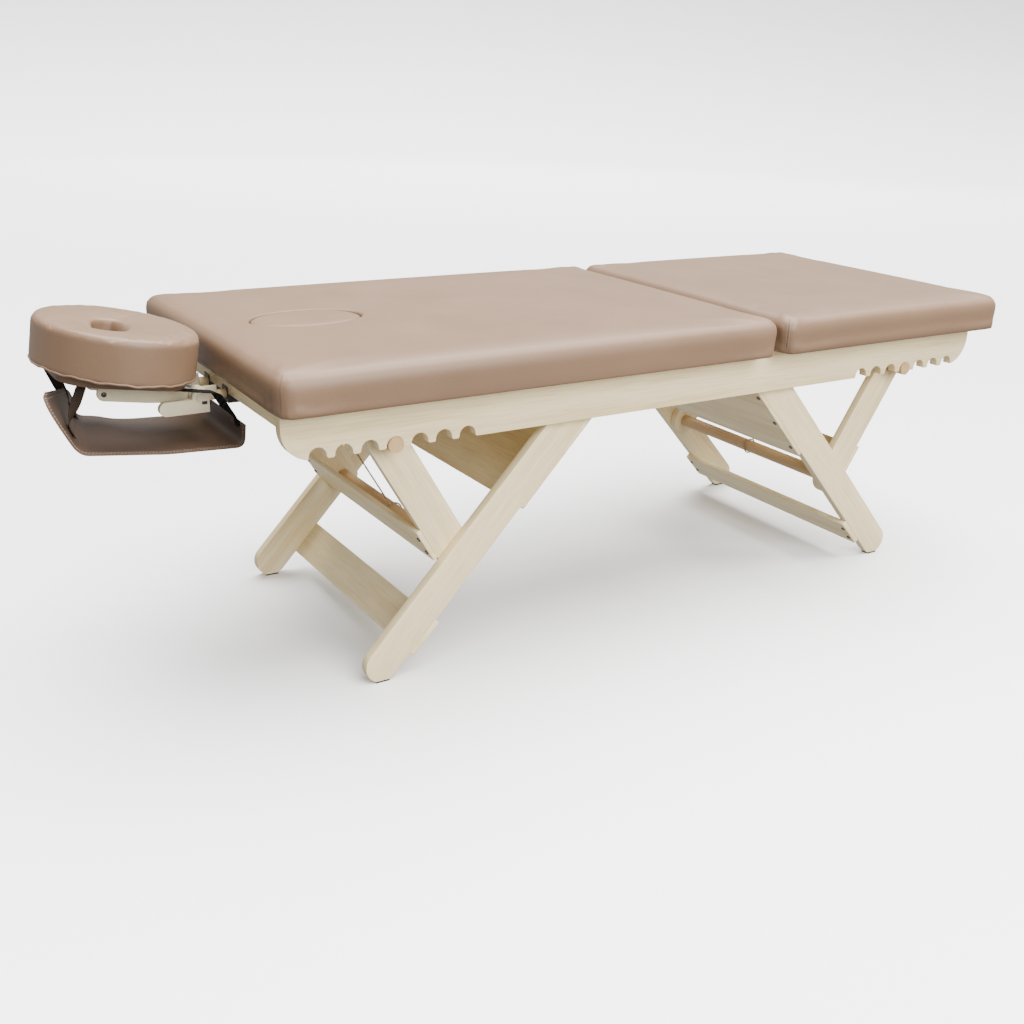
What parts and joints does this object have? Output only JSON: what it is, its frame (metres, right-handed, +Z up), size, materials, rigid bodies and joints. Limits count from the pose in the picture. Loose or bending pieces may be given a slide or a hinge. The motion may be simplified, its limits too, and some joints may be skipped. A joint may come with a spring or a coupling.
{
  "type": "massage table",
  "caption": "Massage table with an upholstered top and face-hole plug on a pale wooden frame, folding trestles hooked into notched rails, and a tilting face rest with an arm sling.",
  "frame": {"origin": "on the floor, half way along and half way across the whole table with its face rest", "axes": "+Z up, +X along the table from the face rest to the foot end, +Y to the right of someone who lies face up with the head at -X"},
  "size_m": [2.107, 0.75, 0.6877],
  "materials": {
    "upholstery": "smooth soft artificial leather, satin",
    "sling_leather": "dark artificial leather with stitched hems",
    "frame_wood": "clear satin lacquer on pale birch",
    "plywood": "clear satin lacquer on birch plywood",
    "dowel_wood": "turned beech, clear lacquer",
    "headrest_board": "brown stained plywood",
    "steel": "zinc plated",
    "screw_steel": "dark plated",
    "foot_rubber": "matt",
    "headrest_plastic": "moulded, satin",
    "socket_plastic": "moulded, matt",
    "webbing": "woven black webbing",
    "cord": "thin braided cord"
  },
  "bodies": {
    "root": {"side_rail_left": "frame_wood", "side_rail_right": "frame_wood", "cross_rail_head": "frame_wood", "cross_rail_middle_head": "frame_wood", "cross_rail_middle_foot": "frame_wood", "cross_rail_split": "frame_wood", "cross_rail_foot": "frame_wood", "main_base_board": "plywood", "foot_base_board": "plywood", "main_cushion": "upholstery", "foot_cushion": "upholstery", "leg_pivot_bolts": "steel", "leg_pivot_washers": "steel", "headrest_socket_left": "socket_plastic", "headrest_socket_right": "socket_plastic"},
    "face_plug": {"face_plug": "upholstery"},
    "head_legs": {"head_leg_left": "frame_wood", "head_leg_right": "frame_wood", "head_leg_panel": "plywood", "head_tie_board": "plywood", "head_leg_screws": "screw_steel", "head_foot_pads": "foot_rubber"},
    "foot_legs": {"foot_leg_left": "frame_wood", "foot_leg_right": "frame_wood", "foot_leg_panel": "plywood", "foot_tie_board": "plywood", "foot_leg_screws": "screw_steel", "foot_foot_pads": "foot_rubber"},
    "head_strut": {"head_strut_left": "frame_wood", "head_strut_right": "frame_wood", "head_notch_dowel": "dowel_wood", "head_pivot_rod": "dowel_wood", "head_strut_brace": "plywood", "head_brace_screws": "screw_steel", "head_tie_cord": "cord"},
    "foot_strut": {"foot_strut_left": "frame_wood", "foot_strut_right": "frame_wood", "foot_notch_dowel": "dowel_wood", "foot_pivot_rod": "dowel_wood", "foot_strut_brace": "plywood", "foot_brace_screws": "screw_steel", "foot_tie_cord": "cord"},
    "headrest_slide": {"headrest_hinge_plate_left": "headrest_plastic", "headrest_hinge_plate_right": "headrest_plastic", "headrest_slide_rod_left": "dowel_wood", "headrest_slide_rod_right": "dowel_wood", "headrest_hinge_bolt": "steel", "headrest_hinge_spacer": "steel"},
    "face_rest": {"headrest_arm_left": "headrest_plastic", "headrest_arm_right": "headrest_plastic", "headrest_plate": "headrest_board", "face_cushion": "upholstery", "arm_sling": "sling_leather", "sling_strap_outer_left": "webbing", "sling_strap_outer_right": "webbing", "sling_strap_table_left": "webbing", "sling_strap_table_right": "webbing"},
    "clamp_lever": {"headrest_clamp_lever": "headrest_plastic"}
  },
  "joints": [
    {"name": "head_leg_swing", "type": "hinge", "parent": "root", "child": "head_legs", "pos_m": [-0.11, 0, 0.496], "axis": [0, -1, 0], "range_deg": [0, 55]},
    {"name": "foot_leg_swing", "type": "hinge", "parent": "root", "child": "foot_legs", "pos_m": [0.397, 0, 0.496], "axis": [0, 1, 0], "range_deg": [0, 55]},
    {"name": "head_strut_fold", "type": "hinge", "parent": "head_legs", "child": "head_strut", "pos_m": [-0.36483, 0, 0.22088], "axis": [0, 1, 0], "range_deg": [0, 22]},
    {"name": "foot_strut_fold", "type": "hinge", "parent": "foot_legs", "child": "foot_strut", "pos_m": [0.65183, 0, 0.22088], "axis": [0, -1, 0], "range_deg": [0, 22]},
    {"name": "headrest_pull", "type": "slide", "parent": "root", "child": "headrest_slide", "axis": [-1, 0, 0], "range_m": [0, 0.035]},
    {"name": "face_rest_tilt", "type": "hinge", "parent": "headrest_slide", "child": "face_rest", "pos_m": [-0.785, 0, 0.535], "axis": [0, 1, 0], "range_deg": [-20, 0]},
    {"name": "clamp_lever_turn", "type": "hinge", "parent": "headrest_slide", "child": "clamp_lever", "pos_m": [-0.785, 0, 0.535], "axis": [0, -1, 0], "range_deg": [0, 40]},
    {"name": "face_plug_lift", "type": "slide", "parent": "root", "child": "face_plug", "axis": [0, 0, 1], "range_m": [0, 0.1]}
  ],
  "couplings": [
    {"joint": "head_strut_fold", "follows": "head_leg_swing", "ratio": 0.4},
    {"joint": "foot_strut_fold", "follows": "foot_leg_swing", "ratio": 0.4}
  ]
}
